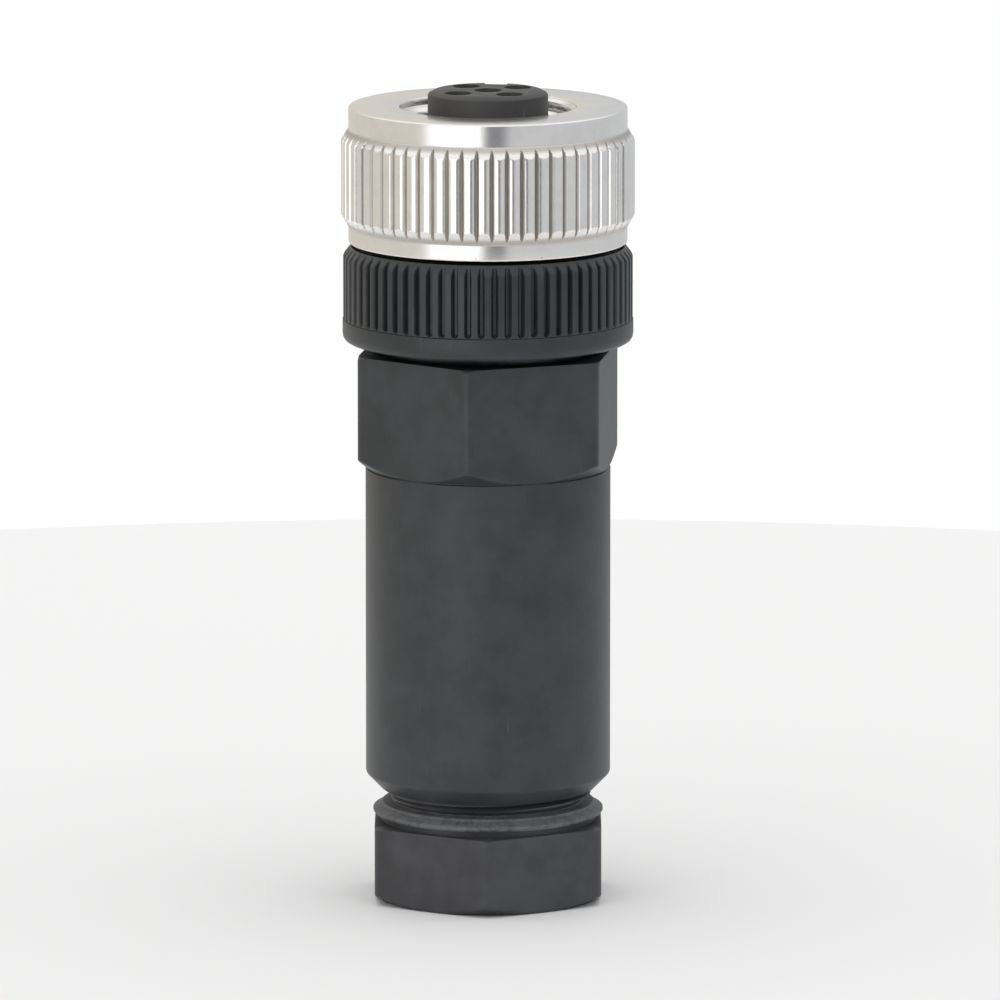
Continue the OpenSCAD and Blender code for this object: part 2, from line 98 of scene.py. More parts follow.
class Signal:
    """An output socket that takes part in Python expressions, which add Math nodes."""

    def __init__(self, graph: "Graph", socket: bpy.types.NodeSocket) -> None:
        """Keeps the graph and the socket."""
        self.graph = graph
        self.socket = socket

    def _math(self, operation: str, *values: "Value") -> "Signal":
        """Returns the result of one Math node on the values."""
        return self.graph.math(operation, *values)

    def __add__(self, other: "Value") -> "Signal":
        """self + other."""
        return self._math("ADD", self, other)

    def __radd__(self, other: "Value") -> "Signal":
        """other + self."""
        return self._math("ADD", other, self)

    def __sub__(self, other: "Value") -> "Signal":
        """self - other."""
        return self._math("SUBTRACT", self, other)

    def __rsub__(self, other: "Value") -> "Signal":
        """other - self."""
        return self._math("SUBTRACT", other, self)

    def __mul__(self, other: "Value") -> "Signal":
        """self * other."""
        return self._math("MULTIPLY", self, other)

    def __rmul__(self, other: "Value") -> "Signal":
        """other * self."""
        return self._math("MULTIPLY", other, self)

    def __truediv__(self, other: "Value") -> "Signal":
        """self / other."""
        return self._math("DIVIDE", self, other)

    def __rtruediv__(self, other: "Value") -> "Signal":
        """other / self."""
        return self._math("DIVIDE", other, self)

    def __neg__(self) -> "Signal":
        """-self."""
        return self._math("MULTIPLY", self, -1.0)

    def __abs__(self) -> "Signal":
        """abs(self)."""
        return self._math("ABSOLUTE", self)

    def __pow__(self, other: "Value") -> "Signal":
        """self ** other."""
        return self._math("POWER", self, other)

    def least(self, other: "Value") -> "Signal":
        """The smaller of the two values."""
        return self._math("MINIMUM", self, other)

    def most(self, other: "Value") -> "Signal":
        """The larger of the two values."""
        return self._math("MAXIMUM", self, other)

    def ramp(self, low: float, high: float) -> "Signal":
        """0 below low, 1 above high and a soft step between; low may be the larger one."""
        return self.graph.add(
            "ShaderNodeMapRange",
            {"interpolation_type": "SMOOTHSTEP", "clamp": True},
            {"Value": self, "From Min": low, "From Max": high, "To Min": 0.0, "To Max": 1.0},
        )

    def clamped(self) -> "Signal":
        """The value held between 0 and 1."""
        return self.most(0.0).least(1.0)


Value = Union[Signal, float]


class Graph:
    """Adds nodes to a shader or geometry tree."""

    def __init__(self, tree: bpy.types.NodeTree) -> None:
        """Keeps the tree."""
        self.tree = tree

    def node(
        self, kind: str, settings: dict[str, object], sockets: dict[object, object]
    ) -> bpy.types.Node:
        """Adds one node.

        Args:
            kind: The node's type name.
            settings: Properties of the node, set first; "stops" fills a colour ramp.
            sockets: Values or Signals by input name or index.

        Returns:
            The new node.
        """
        made = self.tree.nodes.new(kind)
        for name, value in settings.items():
            if name == "stops":
                elements = made.color_ramp.elements
                while len(elements) < len(value):
                    elements.new(0.5)
                for element, (place, shade) in zip(elements, value):
                    element.position = place
                    element.color = (shade, shade, shade, 1.0)
            else:
                setattr(made, name, value)
        for name, value in sockets.items():
            if isinstance(value, Signal):
                self.tree.links.new(value.socket, made.inputs[name])
            else:
                made.inputs[name].default_value = value
        return made

    def add(
        self,
        kind: str,
        settings: dict[str, object],
        sockets: dict[object, object],
        output: Union[str, int] = 0,
    ) -> Signal:
        """Adds one node and returns the Signal of one of its outputs."""
        return Signal(self, self.node(kind, settings, sockets).outputs[output])

    def math(self, operation: str, *values: Value) -> Signal:
        """Adds a Math node.

        Args:
            operation: The operation's name.
            values: Its inputs in order.

        Returns:
            The result.
        """
        return self.add("ShaderNodeMath", {"operation": operation}, dict(enumerate(values)))

    def vector(self, x: Value, y: Value, z: Value) -> Signal:
        """A vector from three values."""
        return self.add("ShaderNodeCombineXYZ", {}, {"X": x, "Y": y, "Z": z})


class ShaderGraph(Graph):
    """A material's or the world's graph, with the patterns that the finishes share."""

    def place(self) -> tuple[Signal, Signal, Signal]:
        """Object coordinates x, y and z in millimetres."""
        raw = self.add("ShaderNodeTexCoord", {}, {}, "Object")
        scaled = self.add(
            "ShaderNodeVectorMath", {"operation": "SCALE"}, {0: raw, "Scale": 1.0 / MM}
        )
        split = self.node("ShaderNodeSeparateXYZ", {}, {0: scaled})
        return tuple(Signal(self, split.outputs[axis]) for axis in "XYZ")

    def noise(self, at: Signal, scale: float, detail: float = 2.0, roughness: float = 0.5) -> Signal:
        """Soft noise from 0 to 1 at a vector in millimetres; scale is in lumps a millimetre."""
        return self.add(
            "ShaderNodeTexNoise",
            {"noise_dimensions": "3D"},
            {"Vector": at, "Scale": scale, "Detail": detail, "Roughness": roughness},
            "Fac",
        )

    def cells(self, at: Signal, scale: float, feature: str = "F1") -> Signal:
        """Distance to the nearest of scattered points, for specks and nicks."""
        return self.add(
            "ShaderNodeTexVoronoi",
            {"feature": feature},
            {"Vector": at, "Scale": scale, "Randomness": 1.0},
            "Distance",
        )

    def blend(self, factor: Value, first: object, second: object) -> Signal:
        """A colour between two colours.

        Args:
            factor: 0 for the first, 1 for the second.
            first: A colour or a Signal.
            second: A colour or a Signal.

        Returns:
            The blended colour.
        """
        sides = [value if isinstance(value, Signal) else (*value, 1.0) for value in (first, second)]
        return self.add(
            "ShaderNodeMix",
            {"data_type": "RGBA", "blend_type": "MIX", "clamp_factor": True},
            {0: factor, 6: sides[0], 7: sides[1]},
            2,
        )

    def bump(self, height: Signal, strength: float, depth_mm: float) -> Signal:
        """A normal from a height that runs from 0 to 1 over depth_mm."""
        return self.add(
            "ShaderNodeBump",
            {},
            {"Height": height, "Strength": strength, "Distance": depth_mm * MM},
            "Normal",
        )


@dataclass(frozen=True)
class Finish:
    """A surface finish. Subclasses say how its colour, roughness and relief vary."""

    name: str
    colour: Colour
    roughness: float

    def material(self) -> bpy.types.Material:
        """Builds the finish's material.

        Returns:
            A new material with a Principled shader.
        """
        made = bpy.data.materials.new(self.name)
        made.use_nodes = True
        made.node_tree.nodes.clear()
        graph = ShaderGraph(made.node_tree)
        shader = graph.node("ShaderNodeBsdfPrincipled", {}, self.sockets(graph))
        output = graph.node("ShaderNodeOutputMaterial", {}, {})
        made.node_tree.links.new(shader.outputs[0], output.inputs["Surface"])
        return made

    def sockets(self, graph: ShaderGraph) -> dict[object, object]:
        """Values and Signals for the Principled shader's inputs."""
        raise NotImplementedError


@dataclass(frozen=True)
class MouldedPlastic(Finish):
    """Black moulded polyamide: fine grain, cloudy flow marks, pale specks and hairline rubs."""

    grain: float = 7.0
    relief: float = 0.16
    cloud: float = 0.25
    speck: float = 0.35
    rub: float = 0.3
    # Pale colour of specks and rubs, and of the painted light on the gland's collar.
    pale_marks_and_painted_light_colour: Colour = (0.16, 0.165, 0.17)

    def extra_marks_and_painted_light(self, graph: ShaderGraph, x: Signal, y: Signal, z: Signal) -> Value:
        """Extra scuffing and painted light from 0 to 1; plain mouldings have none."""
        return 0.0

    def sockets(self, graph: ShaderGraph) -> dict[object, object]:
        """Colour, roughness and normal of the moulded skin."""
        x, y, z = graph.place()
        at = graph.vector(x, y, z)
        cloud = graph.noise(at, 0.35, 4.0, 0.6)
        fine = graph.noise(at, self.grain, 3.0, 0.65)
        streaks = graph.noise(graph.vector(x * 2.2, y * 2.2, z * 0.22), 1.4, 4.0, 0.7)
        specks = graph.cells(at, 2.4).ramp(0.075, 0.03) * graph.noise(at, 0.9).ramp(0.5, 0.7)
        rubs = streaks.ramp(0.6, 0.78) * graph.noise(at, 0.5).ramp(0.45, 0.65)
        # Specks and rubs are wear; the gland adds collar scuffs with painted light.
        marks_and_painted_light = (specks * self.speck + rubs * self.rub + self.extra_marks_and_painted_light(graph, x, y, z)).clamped()
        dark = tuple(part * (1.0 - self.cloud) for part in self.colour)
        pale = tuple(part * (1.0 + self.cloud) for part in self.colour)
        base = graph.blend(cloud.ramp(0.3, 0.7), dark, pale)
        return {
            "Base Color": graph.blend(marks_and_painted_light, base, self.pale_marks_and_painted_light_colour),
            "Roughness": (
                self.roughness + (cloud - 0.5) * 0.14 + (fine - 0.5) * 0.12 + marks_and_painted_light * 0.2
            ).clamped(),
            "Normal": graph.bump(fine, self.relief, 0.02),
            "Specular IOR Level": 0.5,
        }


@dataclass(frozen=True)
class GlandMarksAndPaintedLight(MouldedPlastic):
    """The gland nut's plastic, roughened on its cone collar by spanners and handling, and painted paler
    there as light falling on the upward-facing collar.
    """

    collar_low: float = 5.75
    collar_high: float = 6.75

    def extra_marks_and_painted_light(self, graph: ShaderGraph, x: Signal, y: Signal, z: Signal) -> Value:
        """Pale patches on the collar: rough scuffs, and painted light where the collar faces up."""
        at = graph.vector(x, y, z)
        # Collar band: scuffs in lumps and grit, and painted light that makes the upward-facing collar
        # paler.
        band = z.ramp(self.collar_low - 0.1, self.collar_low + 0.05) * z.ramp(
            self.collar_high, self.collar_high - 0.12
        )
        lumps = graph.noise(at, 1.6, 5.0, 0.75).ramp(0.3, 0.62)
        grit = graph.noise(at, 9.0, 3.0, 0.8).ramp(0.35, 0.7)
        return band * (lumps * 0.55 + grit * 0.35)


@dataclass(frozen=True)
class TurnedNickel(Finish):
    """Nickel plate over turned brass: fine turned lines and small nicks, with painted shade darkening the
    knurl grooves.
    """

    # Radius and heights of the knurl grooves, where the painted shade goes.
    groove_r: float = 9.72
    groove_low: float = 46.3
    groove_high: float = 53.2
    # Colour of the nicks, and of the painted shade in the knurl grooves.
    nicks_and_groove_shade_colour: Colour = (0.42, 0.395, 0.35)

    def sockets(self, graph: ShaderGraph) -> dict[object, object]:
        """Colour, roughness and normal of the plated metal."""
        x, y, z = graph.place()
        at = graph.vector(x, y, z)
        radius = graph.math("SQRT", x * x + y * y)
        angle = graph.math("ARCTAN2", y, x)
        lines = graph.noise(graph.vector(radius, z, angle * 0.05), 26.0, 4.0, 0.7)
        tarnish = graph.noise(at, 0.7, 5.0, 0.6)
        nick = graph.cells(at, 0.85).ramp(0.09, 0.05) * graph.noise(at, 6.0, 3.0, 0.7).ramp(0.45, 0.6)
        # Mask of the knurl grooves: painted shade, with a darker colour and higher roughness there.
        band = z.ramp(self.groove_low, self.groove_low + 0.2) * z.ramp(
            self.groove_high, self.groove_high - 0.2
        )
        outside = radius.ramp(9.0, 9.3)
        groove = band * outside * radius.ramp(self.groove_r + 0.12, self.groove_r - 0.08)
        clean = graph.blend(tarnish.ramp(0.35, 0.75), self.colour, tuple(c * 0.93 for c in self.colour))
        # Nicks are wear; the groove mask is painted shade.
        marks_and_painted_light = (groove * 0.75 + nick * 0.6).clamped()
        return {
            "Base Color": graph.blend(marks_and_painted_light, clean, self.nicks_and_groove_shade_colour),
            "Metallic": 1.0,
            "Roughness": (
                self.roughness + (lines - 0.5) * 0.16 + (tarnish - 0.5) * 0.1 + marks_and_painted_light * 0.22
            ).clamped(),
            "Normal": graph.bump(lines - nick * 0.5, 0.12, 0.012),
        }


@dataclass(frozen=True)
class PlatedMetal(Finish):
    """Small plated parts: even colour with faint lines and blotches."""

    grain: float = 18.0

    def sockets(self, graph: ShaderGraph) -> dict[object, object]:
        """Colour, roughness and normal of the small metal parts."""
        x, y, z = graph.place()
        at = graph.vector(x, y, z)
        blotch = graph.noise(at, 1.8, 4.0, 0.6)
        lines = graph.noise(graph.vector(x, y, z * 4.0), self.grain, 3.0, 0.6)
        shade = tuple(part * 0.82 for part in self.colour)
        return {
            "Base Color": graph.blend(blotch.ramp(0.4, 0.75), self.colour, shade),
            "Metallic": 1.0,
            "Roughness": (self.roughness + (blotch - 0.5) * 0.12 + (lines - 0.5) * 0.1).clamped(),
            "Normal": graph.bump(lines, 0.08, 0.01),
        }


@dataclass(frozen=True)
class SealRubber(Finish):
    """Nitrile rubber: dull black with a faint bloom."""

    def sockets(self, graph: ShaderGraph) -> dict[object, object]:
        """Colour, roughness and normal of the rubber."""
        x, y, z = graph.place()
        at = graph.vector(x, y, z)
        bloom = graph.noise(at, 1.2, 5.0, 0.6)
        skin = graph.noise(at, 14.0, 2.0, 0.5)
        pale = tuple(part * 2.2 for part in self.colour)
        return {
            "Base Color": graph.blend(bloom.ramp(0.5, 0.85), self.colour, pale),
            "Roughness": (self.roughness + (bloom - 0.5) * 0.15).clamped(),
            "Normal": graph.bump(skin, 0.1, 0.01),
        }


class Wardrobe:
    """The finishes of the connector, each made once."""

    FINISHES: dict[Slot, Finish] = {
        # Gland plastic with scuffs and painted light on its cone collar.
        Slot.GLAND: GlandMarksAndPaintedLight("gland plastic", (0.042, 0.043, 0.047), 0.5, rub=0.22),
        Slot.CAGE: MouldedPlastic("cage plastic", (0.05, 0.05, 0.053), 0.42, grain=5.0, speck=0.1),
        Slot.RUBBER: SealRubber("seal rubber", (0.012, 0.012, 0.012), 0.48),
        Slot.HOUSING: MouldedPlastic("housing plastic", (0.028, 0.031, 0.034), 0.44),
        Slot.RING: MouldedPlastic("ring plastic", (0.022, 0.025, 0.027), 0.4, grain=6.0, cloud=0.15),
        Slot.INSERT: MouldedPlastic("insert plastic", (0.03, 0.029, 0.028), 0.5, grain=5.0, speck=0.15),
        # Nickel with painted shade in the knurl grooves.
        Slot.NICKEL: TurnedNickel("turned nickel", (0.86, 0.85, 0.83), 0.2),
        Slot.SPRING: PlatedMetal("spring steel", (0.72, 0.72, 0.71), 0.28),
        Slot.GILT: PlatedMetal("gilt brass", (0.93, 0.7, 0.32), 0.24),
        Slot.SCREW: PlatedMetal("zinc steel", (0.7, 0.7, 0.69), 0.34),
    }

    def __init__(self) -> None:
        """Starts with no material made."""
        self._made: dict[Slot, bpy.types.Material] = {}

    def material(self, slot: Slot) -> bpy.types.Material:
        """The material of a slot, made when it is first asked for."""
        if slot not in self._made:
            self._made[slot] = self.FINISHES[slot].material()
        return self._made[slot]


# ----- meshes


def spread(first: float, last: float, count: int) -> list[float]:
    """Evenly spaced values from first to last, both included."""
    return [first + (last - first) * step / (count - 1) for step in range(count)]


def soft_least(first: float, second: float, round_mm: float) -> float:
    """The smaller of two radii, with the edge where they cross rounded off."""
    share = max(round_mm - abs(first - second), 0.0) / round_mm
    return min(first, second) - share * share * round_mm / 4.0


def filleted(corners: Sequence[tuple[float, float, float]], steps: int = 4) -> list[Point]:
    """Rounds the corners of a closed outline.

    Args:
        corners: Radius, height and fillet of each corner, in order.
        steps: Segments in each fillet.

    Returns:
        The outline's points as radius and height.
    """
    outline: list[Point] = []
    for place, (r, z, fillet) in enumerate(corners):
        here = Vector((r, z))
        before = Vector(corners[place - 1][:2]) - here
        after = Vector(corners[(place + 1) % len(corners)][:2]) - here
        if fillet <= 0.0:
            outline.append((r, z))
            continue
        half = before.angle(after) / 2.0
        reach = min(fillet / math.tan(half), 0.48 * before.length, 0.48 * after.length)
        start, end = here + before.normalized() * reach, here + after.normalized() * reach
        for step in range(steps + 1):
            share = step / steps
            bend = start.lerp(here, share).lerp(here.lerp(end, share), share)
            outline.append((bend.x, bend.y))
    return outline


class Skin:
    """Collects the faces of one piece, in millimetres."""

    def __init__(self) -> None:
        """Starts empty."""
        self.points: list[tuple[float, float, float]] = []
        self.faces: list[tuple[int, ...]] = []

    def lathe(self, outline: Sequence[Point], segments: int = 192, closed: bool = True) -> "Skin":
        """Turns an outline round Z; anticlockwise in radius and height, its faces point out."""
        start, rows = len(self.points), len(outline)
        for segment in range(segments):
            turn = 2.0 * math.pi * segment / segments
            self.points += [(r * math.cos(turn), r * math.sin(turn), z) for r, z in outline]
        for segment in range(segments):
            here = start + segment * rows
            there = start + (segment + 1) % segments * rows
            for row in range(rows if closed else rows - 1):
                up = (row + 1) % rows
                self.faces.append((here + row, there + row, there + up, here + up))
        return self

    def patch(self, angles: Sequence[float], rows: Sequence[Callable[[float], Point]]) -> "Skin":
        """Adds a patch over angles in degrees; each row gives radius and height at an angle."""
        start, across = len(self.points), len(angles)
        for row in rows:
            for angle in angles:
                r, z = row(angle)
                turn = math.radians(angle)
                self.points.append((r * math.cos(turn), r * math.sin(turn), z))
        for row in range(len(rows) - 1):
            for step in range(across - 1):
                low = start + row * across + step
                self.faces.append((low, low + 1, low + across + 1, low + across))
        return self

    def mesh(self, name: str) -> bpy.types.Mesh:
        """The collected faces as a Blender mesh in metres, with doubles merged."""
        made = bpy.data.meshes.new(name)
        made.from_pydata([tuple(part * MM for part in point) for point in self.points], [], self.faces)
        work = bmesh.new()
        work.from_mesh(made)
        bmesh.ops.remove_doubles(work, verts=work.verts, dist=1e-7)
        work.to_mesh(made)
        work.free()
        return made


class GeometryTree:
    """A Geometry Nodes tree with named inputs, run once on a mesh and turned into a plain mesh."""

    INPUTS: dict[str, str] = {}

    def __init__(self, name: str) -> None:
        """Builds the tree's sockets and nodes."""
        self.tree = bpy.data.node_groups.new(name, "GeometryNodeTree")
        self.tree.is_modifier = True
        self.tree.interface.new_socket("Geometry", in_out="INPUT", socket_type="NodeSocketGeometry")
        for label, kind in {**self.INPUTS, "Material": "NodeSocketMaterial"}.items():
            self.tree.interface.new_socket(label, in_out="INPUT", socket_type=kind)
        self.tree.interface.new_socket("Geometry", in_out="OUTPUT", socket_type="NodeSocketGeometry")
        graph = Graph(self.tree)
        source = graph.node("NodeGroupInput", {}, {})
        given = {socket.name: Signal(graph, socket) for socket in source.outputs if socket.name}
        shape = self.build(graph, given)
        realised = graph.add("GeometryNodeRealizeInstances", {}, {"Geometry": shape})
        dressed = graph.add(
            "GeometryNodeSetMaterial", {}, {"Geometry": realised, "Material": given["Material"]}
        )
        sink = graph.node("NodeGroupOutput", {}, {})
        self.tree.links.new(dressed.socket, sink.inputs[0])

    def build(self, graph: Graph, given: dict[str, Signal]) -> Signal:
        """Adds the tree's own nodes and returns the shape."""
        raise NotImplementedError

    def run(self, mesh: bpy.types.Mesh, values: dict[str, object]) -> bpy.types.Mesh:
        """Runs the tree on a mesh.

        Args:
            mesh: The mesh that goes into the tree.
            values: The tree's inputs by name.

        Returns:
            The result as a plain mesh.
        """
        carrier = bpy.data.objects.new("carrier", mesh)
        bpy.context.scene.collection.objects.link(carrier)
        modifier = carrier.modifiers.new("shape", "NODES")
        modifier.node_group = self.tree
        for item in self.tree.interface.items_tree:
            if item.item_type == "SOCKET" and item.in_out == "INPUT" and item.name in values:
                modifier[item.identifier] = values[item.name]
        graph = bpy.context.evaluated_depsgraph_get()
        result = bpy.data.meshes.new_from_object(carrier.evaluated_get(graph))
        carrier.modifiers.remove(modifier)
        bpy.data.objects.remove(carrier)
        return result


class RadialRepeat(GeometryTree):
    """Repeats a sector round the Z axis: teeth, ribs and the flats of a hexagon."""

    INPUTS = {"Count": "NodeSocketInt", "Start": "NodeSocketFloat", "Weld": "NodeSocketFloat"}

    def build(self, graph: Graph, given: dict[str, Signal]) -> Signal:
        """One instance at each step of the turn, welded to its neighbours."""
        spots = graph.add("GeometryNodeMeshLine", {}, {"Count": given["Count"], "Offset": (0.0, 0.0, 0.0)})
        index = graph.add("GeometryNodeInputIndex", {}, {})
        turn = index * (2.0 * math.pi) / given["Count"] + given["Start"]
        placed = graph.add(
            "GeometryNodeInstanceOnPoints",
            {},
            {
                "Points": spots,
                "Instance": given["Geometry"],
                "Rotation": graph.add("FunctionNodeEulerToRotation", {}, {0: graph.vector(0.0, 0.0, turn)}),
            },
        )
        real = graph.add("GeometryNodeRealizeInstances", {}, {"Geometry": placed})
        return graph.add("GeometryNodeMergeByDistance", {}, {"Geometry": real, "Distance": given["Weld"]})


class ScrewThread(GeometryTree):
    """A right-hand thread as one band wound round Z, running out to its root at both ends."""

    INPUTS = {
        "Low": "NodeSocketFloat",
        "High": "NodeSocketFloat",
        "Pitch": "NodeSocketFloat",
        "Root": "NodeSocketFloat",
        "Crest": "NodeSocketFloat",
        "Run Out": "NodeSocketFloat",
    }

    def build(self, graph: Graph, given: dict[str, Signal]) -> Signal:
        """Bends a flat grid, whose x runs along the thread in turns and y across one pitch."""
        raw = graph.add("GeometryNodeInputPosition", {}, {})
        split = graph.node("ShaderNodeSeparateXYZ", {}, {0: raw})
        along, across = Signal(graph, split.outputs["X"]), Signal(graph, split.outputs["Y"])
        pitch, low, high = given["Pitch"], given["Low"], given["High"]
        height = (low + (along + across - 1.0) * pitch).most(low).least(high)
        flank = ((0.375 - abs(across - 0.5)) * 3.2).clamped()
        fade = ((height - low).least(high - height) / given["Run Out"]).clamped()
        radius = given["Root"] + (given["Crest"] - given["Root"]) * flank * fade
        turn = along * (2.0 * math.pi)
        wound = graph.vector(
            radius * graph.math("COSINE", turn), radius * graph.math("SINE", turn), height
        )
        bent = graph.add("GeometryNodeSetPosition", {}, {"Geometry": given["Geometry"], "Position": wound})
        return graph.add("GeometryNodeMergeByDistance", {}, {"Geometry": bent, "Distance": 1e-7})


class Workshop:
    """Makes finished pieces: joins meshes, smooths them and hands them to the frame."""

    def __init__(self) -> None:
        """Prepares the wardrobe and the trees."""
        self.wardrobe = Wardrobe()
        self.radial = RadialRepeat("radial_repeat")
        self.thread = ScrewThread("screw_thread")

    def repeat(self, sector: Skin, count: int, start_deg: float, slot: Slot) -> bpy.types.Mesh:
        """Repeats a sector count times round Z, the first turned by start_deg."""
        values = {
            "Count": count,
            "Start": math.radians(start_deg),
            "Weld": 2e-6,
            "Material": self.wardrobe.material(slot),
        }
        return self.radial.run(sector.mesh("sector"), values)

    def wind(self, low: float, high: float, root: float, crest: float, slot: Slot) -> bpy.types.Mesh:
        """Winds a thread of 1 mm pitch between two heights.

        Args:
            low: Height of the lower end.
            high: Height of the upper end.
            root: Radius of the thread's root.
            crest: Radius of its crest; smaller than root for an internal thread.
            slot: Whose material it takes.

        Returns:
            The thread's mesh.
        """
        pitch, segments, across = 1.0, 64, 8
        turns = math.ceil((high - low) / pitch) + 1
        grid = Skin()
        columns = turns * segments + 1
        for step in range(columns):
            grid.points += [(step / segments / MM, part / across / MM, 0.0) for part in range(across + 1)]
        for step in range(columns - 1):
            for part in range(across):
                here = step * (across + 1) + part
                grid.faces.append((here, here + across + 1, here + across + 2, here + 1))
        flat = grid.mesh("thread_band")
        values = {
            "Low": low * MM,
            "High": high * MM,
            "Pitch": pitch * MM,
            "Root": root * MM,
            "Crest": crest * MM,
            "Run Out": 0.45 * MM,
            "Material": self.wardrobe.material(slot),
        }
        return self.thread.run(flat, values)

    def piece(
        self,
        name: str,
        parts: Sequence[Union[Skin, bpy.types.Mesh]],
        slot: Slot,
        body: Body,
        nodes: Sequence[str],
        sharp_deg: float = 34.0,
    ) -> bpy.types.Object:
        """Joins parts into one piece that stands for CAD nodes.

        Args:
            name: The piece's name.
            parts: Its meshes.
            slot: The record's slot and the finish.
            body: What it moves with.
            nodes: The CAD nodes that it replaces.
            sharp_deg: Edges that turn by more stay crisp.

        Returns:
            The finished object.
        """
        work = bmesh.new()
        for part in parts:
            work.from_mesh(part.mesh("part") if isinstance(part, Skin) else part)
        for face in work.faces:
            face.smooth = True
            face.material_index = 0
        mesh = bpy.data.meshes.new(name)
        work.to_mesh(mesh)
        work.free()
        mesh.materials.clear()
        mesh.materials.append(self.wardrobe.material(slot))
        mesh.set_sharp_from_angle(angle=math.radians(sharp_deg))
        made = bpy.data.objects.new(name, mesh)
        bpy.context.scene.collection.objects.link(made)
        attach(made, body.value)
        if nodes:
            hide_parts(*nodes)
        LOG.info("%s: %d faces on %s", name, len(mesh.polygons), body.value)
        return made

    def softened(
        self, name: str, node: str, slot: Slot, body: str, edge: float, sharp_deg: float = 30.0
    ) -> bpy.types.Object:
        """Copies a CAD node with its edges broken by a small bevel.

        Args:
            name: The new piece's name.
            node: The CAD node that it copies and replaces.
            slot: The record's slot and the finish.
            body: What it moves with.
            edge: Width of the bevel.
            sharp_deg: Edges that turn by more are bevelled.

        Returns:
            The finished object.
        """
        source = bpy.data.objects[node]
        mesh = source.data.copy()
        mesh.name = name
        work = bmesh.new()
        work.from_mesh(mesh)
        bmesh.ops.remove_doubles(work, verts=work.verts, dist=2e-7)
        bmesh.ops.dissolve_limit(
            work, angle_limit=math.radians(0.5), verts=work.verts, edges=work.edges
        )
        work.to_mesh(mesh)
        work.free()
        mesh.materials.clear()
        mesh.materials.append(self.wardrobe.material(slot))
        made = bpy.data.objects.new(name, mesh)
        bpy.context.scene.collection.objects.link(made)
        bevel = made.modifiers.new("edges", "BEVEL")
        bevel.width = edge * MM
        bevel.segments = 2
        bevel.limit_method = "ANGLE"
        bevel.angle_limit = math.radians(sharp_deg)
        bevel.harden_normals = False
        depsgraph = bpy.context.evaluated_depsgraph_get()
        broken = bpy.data.meshes.new_from_object(made.evaluated_get(depsgraph))
        made.modifiers.remove(bevel)
        made.data = broken
        broken.polygons.foreach_set("use_smooth", [True] * len(broken.polygons))
        broken.set_sharp_from_angle(angle=math.radians(sharp_deg))
        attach(made, body)
        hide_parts(node)
        LOG.info("%s: %d faces on %s", name, len(broken.polygons), body)
        return made

    def dress(self, node: str, slot: Slot) -> None:
        """Gives a CAD node that is shown as it is its finish."""
        source = bpy.data.objects[node]
        source.data.materials.clear()
        source.data.materials.append(self.wardrobe.material(slot))
        LOG.info("%s: dressed", node)


def foot_of(node: str) -> float:
    """Height in millimetres of a CAD node's lowest point."""
    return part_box(node)[0][2] / MM


# ----- sub-assemblies


@dataclass
class Hexagon:
    """The six flats of a nut, with rounded corners that cones cut back at both ends."""

    flats: float
    corner: float
    turn: float
    low: float
    high: float
    low_cone: Point
    high_cone: Point
    low_hole: float
    high_hole: float
    soften: float = 0.12
    draft: float = 0.0

    def reach(self, off: float) -> float:
        """Radius of the outline at an angle in degrees from the nearest corner."""
        inner = self.flats / 2.0
        centre = (inner - self.corner) / math.cos(math.radians(30.0))
        turn = math.radians(off)
        edge = math.degrees(
            math.atan2(self.corner * 0.5, centre + self.corner * math.cos(math.radians(30.0)))
        )
        if abs(off) < edge:
            return centre * math.cos(turn) + math.sqrt(
                self.corner**2 - (centre * math.sin(turn)) ** 2
            )
        return inner / math.cos(math.radians(30.0 - abs(off)))

    def radius(self, off: float, z: float) -> float:
        """Radius of the surface at an angle from the corner and a height."""
        low_r, low_slope = self.low_cone
        high_r, high_slope = self.high_cone
        wall = self.reach(off) - self.draft * (z - self.low) / (self.high - self.low)
        wall = soft_least(wall, low_r + (z - self.low) / low_slope, self.soften)
        return soft_least(wall, high_r + (self.high - z) / high_slope, self.soften)

    def sector(self) -> Skin:
        """One sixth of the hexagon, centred on a corner."""
        fine = spread(-30.0, -9.0, 9) + [-7.5, -6.0, -5.0, -4.0, -3.0, -2.0, -1.0, 0.0]
        angles = fine + [-angle for angle in reversed(fine[:-1])]
        ends = spread(0.0, 0.95, 20)
        heights = [self.low + step for step in ends]
        heights += spread(self.low + 1.1, self.high - 1.1, 7)
        heights += [self.high - step for step in reversed(ends)]
        rows: list[Callable[[float], Point]] = [lambda off: (self.low_hole, self.low)]
        rows += [lambda off, z=z: (self.radius(off, z), z) for z in heights]
        rows.append(lambda off: (self.high_hole, self.high))
        return Skin().patch(angles, rows)

    def mesh(self, workshop: Workshop, slot: Slot) -> bpy.types.Mesh:
        """The whole hexagon's skin."""
        return workshop.repeat(self.sector(), 6, self.turn - 90.0, slot)


